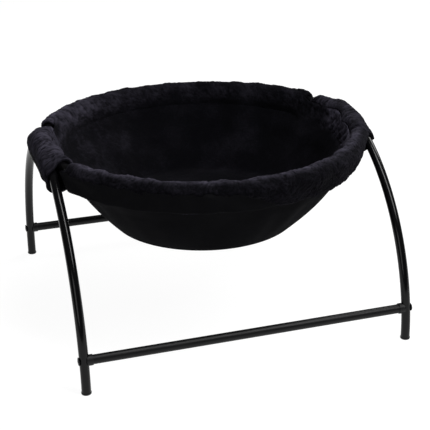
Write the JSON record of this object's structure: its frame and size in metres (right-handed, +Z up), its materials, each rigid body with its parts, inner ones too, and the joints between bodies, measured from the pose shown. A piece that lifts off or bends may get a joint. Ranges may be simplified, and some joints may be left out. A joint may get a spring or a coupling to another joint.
{
  "type": "elevated cat bed",
  "caption": "Round plush hammock bed for a cat, hung in a low bolted frame of bent black steel tube with two arches and two crossbars.",
  "frame": {"origin": "on the floor, at the centre of the bed's footprint", "axes": "+X to the right along the crossbars, +Y to the rear, +Z up"},
  "size_m": [0.4522, 0.4482, 0.2615],
  "materials": {
    "frame_tube": "smooth black powder coat, semi-gloss",
    "black_plastic": "moulded black plastic, satin",
    "black_bolt": "black oxide, satin",
    "zinc_steel": "zinc plated, dull",
    "black_plush": "curly black plush with a faint violet sheen",
    "outer_cloth": "smooth black woven cloth, matt",
    "wadding": "white polyester wadding"
  },
  "bodies": {
    "root": {"left_arch": "frame_tube", "right_arch": "frame_tube", "front_crossbar": "frame_tube", "rear_crossbar": "frame_tube", "front_rim_tube": "frame_tube", "rear_rim_tube": "frame_tube", "crossbar_saddle_front_left": "black_plastic", "crossbar_saddle_front_right": "black_plastic", "crossbar_saddle_rear_left": "black_plastic", "crossbar_saddle_rear_right": "black_plastic", "crossbar_bolt_front_left": "black_bolt", "crossbar_bolt_front_right": "black_bolt", "crossbar_bolt_rear_left": "black_bolt", "crossbar_bolt_rear_right": "black_bolt", "crossbar_insert_front_left": "zinc_steel", "crossbar_insert_front_right": "zinc_steel", "crossbar_insert_rear_left": "zinc_steel", "crossbar_insert_rear_right": "zinc_steel", "foot_cap_front_left": "black_plastic", "foot_cap_front_right": "black_plastic", "foot_cap_rear_left": "black_plastic", "foot_cap_rear_right": "black_plastic", "rim_bolt_front_left": "black_bolt", "rim_bolt_front_right": "black_bolt", "rim_bolt_rear_left": "black_bolt", "rim_bolt_rear_right": "black_bolt", "rim_insert_front_left": "zinc_steel", "rim_insert_front_right": "zinc_steel", "rim_insert_rear_left": "zinc_steel", "rim_insert_rear_right": "zinc_steel", "front_sleeve": "black_plush", "rear_sleeve": "black_plush", "left_sleeve": "black_plush", "right_sleeve": "black_plush", "plush_liner": "black_plush", "shell_wall": "outer_cloth", "shell_base": "outer_cloth", "base_pad": "wadding"}
  },
  "joints": []
}
